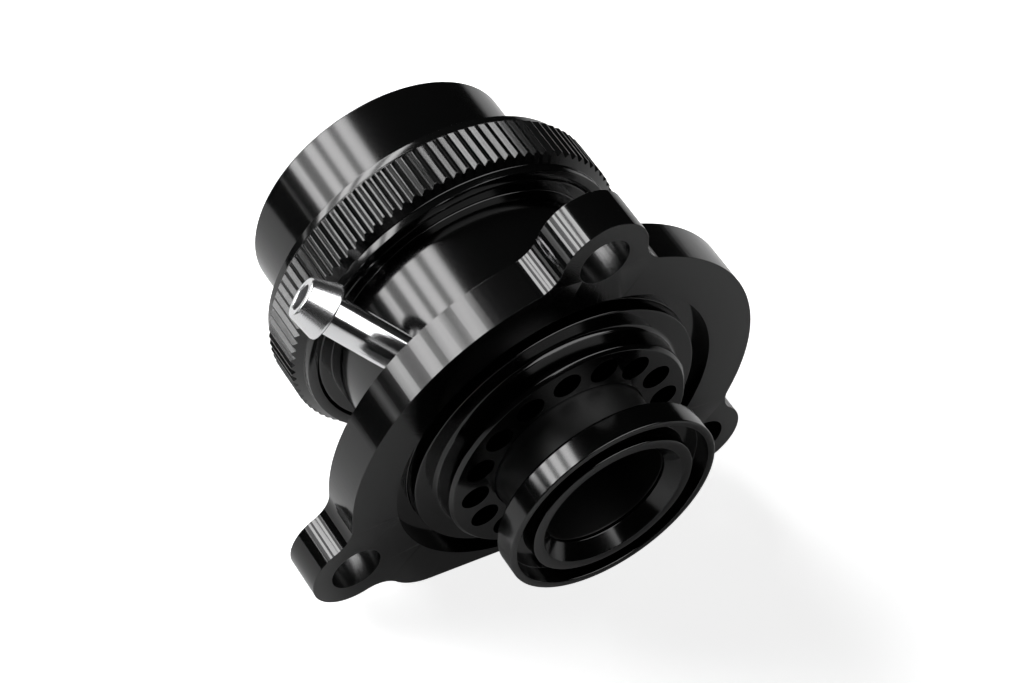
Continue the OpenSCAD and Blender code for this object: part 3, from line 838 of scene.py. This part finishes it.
class VALVE_OT_collar(bpy.types.Operator):
    """Turn the union collar and cut its knurl, with narrow flats on tips and roots"""

    bl_idname = "valve.collar"
    bl_label = "Knurled collar"

    def execute(self, context):
        sizes = context.scene.valve_rear
        edge = context.scene.valve_finish.edge_round
        band_r = COLLAR_R - sizes.band_step
        cone_r = COLLAR_R - sizes.cone_drop
        cone_front = COLLAR_FRONT + sizes.front_rim
        cone_rear = cone_front + sizes.cone_len
        lip_front = COLLAR_REAR - sizes.collar_lip
        lip_r = sizes.cap_r + sizes.collar_clear
        band_front = COLLAR_REAR - sizes.band_len
        section = [
            (lip_r, COLLAR_REAR), (band_r, COLLAR_REAR), (band_r, band_front),
            (COLLAR_R + HAIR, band_front - sizes.band_step), (COLLAR_R + HAIR, cone_rear),
            (cone_r, cone_front), (cone_r, COLLAR_FRONT),
            (sizes.collar_bore_r, COLLAR_FRONT), (sizes.collar_bore_r, lip_front), (lip_r, lip_front),
        ]
        collar = turned("knurled_collar", softened(section, edge), COLLAR_STEPS)
        cut(collar, self.knurl(sizes), "INTERSECT")
        shade(collar, math.radians(25))
        hand_over(
            collar, "collar", "black_anodised", ["lock_collar"], black("turned_black"), black("knurled_black")
        )
        root_r = COLLAR_R - sizes.knurl_depth - CLEAR
        for face in collar.data.polygons:
            face.material_index = 1 if math.hypot(face.center.x, face.center.z) > root_r else 0
        return {"FINISHED"}

    def knurl(self, sizes):
        """A toothed bar: a fine cylinder whose columns are drawn in to the flanks and roots of the teeth."""
        # Columns in a tooth, and the share of the depth at each column from the tip to the root
        columns = 12
        depths = {0: 0.0, 1: 0.03, 2: 0.27, 3: 0.5, 4: 0.73, 5: 0.97, 6: 1.0}
        middle = (COLLAR_FRONT + COLLAR_REAR) / 2
        pitch = 2 * math.pi / sizes.knurl_count
        bar = start_mesh(
            "knurl_bar", bpy.ops.mesh.primitive_cylinder_add, vertices=columns * sizes.knurl_count,
            radius=COLLAR_R, depth=COLLAR_REAR - COLLAR_FRONT + 1 * MM, location=(0, middle, 0),
            rotation=(math.pi / 2, 0, 0),
        )
        for step, share in depths.items():
            bpy.ops.mesh.select_all(action="DESELECT")
            bpy.ops.object.mode_set(mode="OBJECT")
            for vertex in bar.data.vertices:
                column = round(math.atan2(vertex.co.y, vertex.co.x) / pitch * columns) % columns
                vertex.select = min(column, columns - column) == step
            bpy.ops.object.mode_set(mode="EDIT")
            scale = 1 - share * sizes.knurl_depth / COLLAR_R
            bpy.ops.transform.resize(value=(scale, 1, scale), center_override=(0, middle, 0))
        bpy.ops.object.mode_set(mode="OBJECT")
        bpy.ops.object.transform_apply(location=True, rotation=True)
        return bar


class VALVE_OT_barb(bpy.types.Operator):
    """Turn the hose barb and set it in the barrel at its slant"""

    bl_idname = "valve.barb"
    bl_label = "Hose barb"

    def execute(self, context):
        sizes = context.scene.valve_rear
        barrel_r = context.scene.valve_housing.barrel_r
        edge = context.scene.valve_finish.edge_round
        turn, slant = sizes.barb_turn, sizes.barb_slant
        root = Vector((barrel_r * math.cos(turn), sizes.barb_root, barrel_r * math.sin(turn)))
        direction = Vector(
            (math.cos(turn) * math.cos(slant), math.sin(slant), math.sin(turn) * math.cos(slant))
        )
        cone_start = sizes.barb_reach - sizes.barb_cone_len
        section = [
            (sizes.barb_bore_r, -sizes.barb_seat, 0), (sizes.barb_shaft_r, -sizes.barb_seat, 0),
            (sizes.barb_shaft_r, cone_start, edge), (sizes.barb_cone_r, cone_start),
            (sizes.barb_cone_r, cone_start + sizes.barb_land), (sizes.barb_tip_r, sizes.barb_reach, 2 * edge),
            (sizes.barb_bore_r, sizes.barb_reach),
        ]
        barb = turned("barb", softened(section, edge), BARB_STEPS)
        barb.rotation_mode = "QUATERNION"
        barb.rotation_quaternion = AXIS.rotation_difference(direction)
        barb.location = root
        bpy.ops.object.transform_apply(location=True, rotation=True)
        shade(barb)
        metal = finish_named("polished_metal", bright_metal, root, direction, cone_start)
        hand_over(barb, "valve", "bright_metal", ["hose_barb"], metal)
        return {"FINISHED"}


class VALVE_OT_spring(bpy.types.Operator):
    """Coil the return spring at its free length; the real one shortens as the piston goes back, but this one keeps
    its length
    """

    bl_idname = "valve.spring"
    bl_label = "Return spring"

    def execute(self, context):
        sizes = context.scene.valve_rear
        wire = sizes.spring_wire_r
        free = SPRING_REAR - SPRING_FRONT
        rise = free - 2 * wire
        spring = start_mesh(
            "coil_spring", bpy.ops.mesh.primitive_circle_add, vertices=WIRE_STEPS, radius=wire, fill_type="NGON",
            location=(sizes.spring_r, 0, 0),
        )
        bpy.ops.object.mode_set(mode="OBJECT")
        bpy.ops.object.transform_apply(location=True)
        bpy.ops.object.modifier_add(type="SCREW")
        screw = spring.modifiers[-1]
        screw.axis = "Y"
        screw.steps = screw.render_steps = COIL_STEPS
        screw.iterations = sizes.spring_turns
        screw.screw_offset = rise / sizes.spring_turns
        bpy.ops.object.modifier_apply(modifier=screw.name)
        spring.location.y = SPRING_FRONT + wire
        bpy.ops.object.transform_apply(location=True)
        bpy.ops.object.mode_set(mode="EDIT")
        bpy.ops.mesh.select_all(action="DESELECT")
        bpy.ops.mesh.select_non_manifold()
        bpy.ops.mesh.fill()
        close_mesh()
        shade(spring)
        hand_over(spring, "valve", "spring_steel", ["return_spring"], spring_steel())
        slide = next(joint for joint in frame["joints"] if joint["name"] == "piston_slide")
        keep = (free - slide["range_m"][1]) / free
        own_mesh(spring)
        return {"FINISHED"}


class VALVE_OT_inner(bpy.types.Operator):
    """Give the rings, washers and seals inside the valve their finishes"""

    bl_idname = "valve.inner"
    bl_label = "Inner pieces"

    def execute(self, context):
        finishes = {
            "guide_band": nylon(),
            "spring_seat": nylon(),
            "slip_washer": nylon(),
            "piston_seal": rubber(),
            "cap_seal": rubber(),
            "preload_shim": spring_steel(),
        }
        for node, material in finishes.items():
            piece = frame["nodes"][node]
            piece.data.materials.clear()
            piece.data.materials.append(material)
        return {"FINISHED"}


class VALVE_OT_studio(bpy.types.Operator):
    """Set up the pale floor, the lamps, the dark card and the camera"""

    bl_idname = "valve.studio"
    bl_label = "Studio"

    # Heights of the four tubes above the part, seen from it
    tube_elevations = (11.8, 25.8, 36.0, 46.2)

    def execute(self, context):
        settings = context.scene.valve_studio
        context.scene.view_settings.view_transform = "Standard"
        self.floor(settings)
        self.world(context.scene, settings)
        for elevation in self.tube_elevations:
            self.lamp(
                "tube_lamp", settings.lamp_azimuth, math.radians(elevation), settings.lamp_distance,
                (settings.tube_length, settings.tube_width), settings.tube_radiance,
            )
        self.lamp(
            "lamp_panel", settings.lamp_azimuth, settings.panel_elevation,
            settings.lamp_distance + settings.panel_gap,
            (settings.tube_length, settings.panel_height), settings.panel_radiance,
        )
        front = self.lamp(
            "front_lamp", settings.front_azimuth, settings.front_elevation, settings.front_distance,
            (settings.front_width, settings.front_height), settings.front_radiance,
        )
        front.visible_diffuse = False
        self.dark_card(settings)
        self.camera(context.scene, settings)
        return {"FINISHED"}

    def floor(self, settings):
        """A wide pale floor that keeps the part's shadow, white to the eye and faintly so in reflections."""
        bpy.ops.object.select_all(action="DESELECT")
        bpy.ops.mesh.primitive_plane_add(size=60, location=(0, 0, FLOOR_HEIGHT))
        floor = bpy.context.object
        floor.name = "floor"
        finish = Finish("floor")
        camera, through, mirrored = (
            finish.node("ShaderNodeLightPath", output=f"Is {kind} Ray")
            for kind in ("Camera", "Transmission", "Glossy")
        )
        seen = finish.blend(camera + through + settings.floor_mirrored * mirrored, (0, 0, 0), (1, 1, 1))
        finish.set(Base_Color=tuple(settings.floor), Roughness=0.9, Specular_IOR_Level=0)
        finish.set(Emission_Color=seen, Emission_Strength=settings.floor_glow)
        floor.data.materials.append(finish.material)

    def dark_card(self, settings):
        """A low black card below the tube lamps, seen only in reflections: a painted dark reflection that sets a
        dark line under theirs.
        """
        azimuth, distance = settings.card_azimuth, settings.card_distance
        width, height = settings.card_width, settings.card_height
        bpy.ops.mesh.primitive_plane_add(
            size=1, rotation=(0.5 * math.pi, 0, azimuth + 0.5 * math.pi),
            location=(distance * math.cos(azimuth), distance * math.sin(azimuth), FLOOR_HEIGHT + height / 2),
        )
        card = bpy.context.object
        card.name = "dark_card"
        card.scale = (width, height, 1)
        bpy.ops.object.transform_apply(scale=True)
        # Painted dark reflection: this black is seen only in reflections, not by the eye, by diffuse light or by
        # shadows.
        reflected_black = Finish("dark_card").set(Base_Color=(0, 0, 0), Roughness=1.0, Specular_IOR_Level=0)
        card.data.materials.append(reflected_black)
        card.visible_camera = card.visible_diffuse = card.visible_shadow = False

    def world(self, scene, settings):
        """A dim even grey all round."""
        world = bpy.data.worlds.new("studio")
        world.use_nodes = True
        background = world.node_tree.nodes["Background"]
        background.inputs["Color"].default_value = (1, 1, 1, 1)
        background.inputs["Strength"].default_value = settings.ambient
        scene.world = world

    def lamp(self, name, azimuth, elevation, distance, size, radiance):
        """A rectangular lamp that faces the part, with its brightness given as radiance."""
        towards = Vector(
            (math.cos(elevation) * math.cos(azimuth), math.cos(elevation) * math.sin(azimuth), math.sin(elevation))
        )
        bpy.ops.object.light_add(type="AREA", location=towards * distance)
        lamp = bpy.context.object
        lamp.name = name
        lamp.data.shape = "RECTANGLE"
        lamp.data.size, lamp.data.size_y = size
        lamp.data.energy = radiance * math.pi * size[0] * size[1]
        lamp.rotation_euler = towards.to_track_quat("Z", "Y").to_euler()
        lamp.visible_camera = False
        return lamp

    def camera(self, scene, settings):
        """The photograph's viewpoint: above and in front of the nose, rolled a little."""
        place = Vector((-170.65, -171.31, 273.4)) * MM
        aim = Vector((-0.85, 10.29, 4.8)) * MM
        bpy.ops.object.camera_add(location=place)
        camera = bpy.context.object
        turn = (place - aim).to_track_quat("Z", "Y") @ Quaternion((0, 0, 1), settings.roll)
        camera.rotation_euler = turn.to_euler()
        camera.data.lens = settings.lens
        camera.data.sensor_fit = "HORIZONTAL"
        camera.data.sensor_width = 36
        camera.data.clip_start = 0.01
        camera.data.clip_end = 200
        scene.camera = camera


class VALVE_PT_panel(bpy.types.Panel):
    """Lists the steps that dress the valve"""

    bl_idname = "VALVE_PT_panel"
    bl_label = "Blow off valve"
    bl_space_type = "VIEW_3D"
    bl_region_type = "UI"
    bl_category = "Valve"

    def draw(self, context):
        for step in STEPS:
            self.layout.operator(step.bl_idname)
        for name in SETTINGS:
            box = self.layout.box()
            settings = getattr(context.scene, name)
            for key in settings.bl_rna.properties.keys():
                if key not in ("rna_type", "name"):
                    box.prop(settings, key)


STEPS = (
    VALVE_OT_studio,
    VALVE_OT_flange,
    VALVE_OT_barrel,
    VALVE_OT_nose,
    VALVE_OT_cap,
    VALVE_OT_collar,
    VALVE_OT_barb,
    VALVE_OT_spring,
    VALVE_OT_inner,
)
CLASSES = (*SETTINGS.values(), *STEPS, VALVE_PT_panel)


def register():
    for item in CLASSES:
        bpy.utils.register_class(item)
    for name, group in SETTINGS.items():
        setattr(bpy.types.Scene, name, PointerProperty(type=group))


def unregister():
    for name in SETTINGS:
        delattr(bpy.types.Scene, name)
    for item in reversed(CLASSES):
        bpy.utils.unregister_class(item)


def main():
    """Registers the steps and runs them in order."""
    register()
    bpy.ops.valve.studio()
    bpy.ops.valve.flange()
    bpy.ops.valve.barrel()
    bpy.ops.valve.nose()
    bpy.ops.valve.cap()
    bpy.ops.valve.collar()
    bpy.ops.valve.barb()
    bpy.ops.valve.spring()
    bpy.ops.valve.inner()


if __name__ == "__main__":
    main()
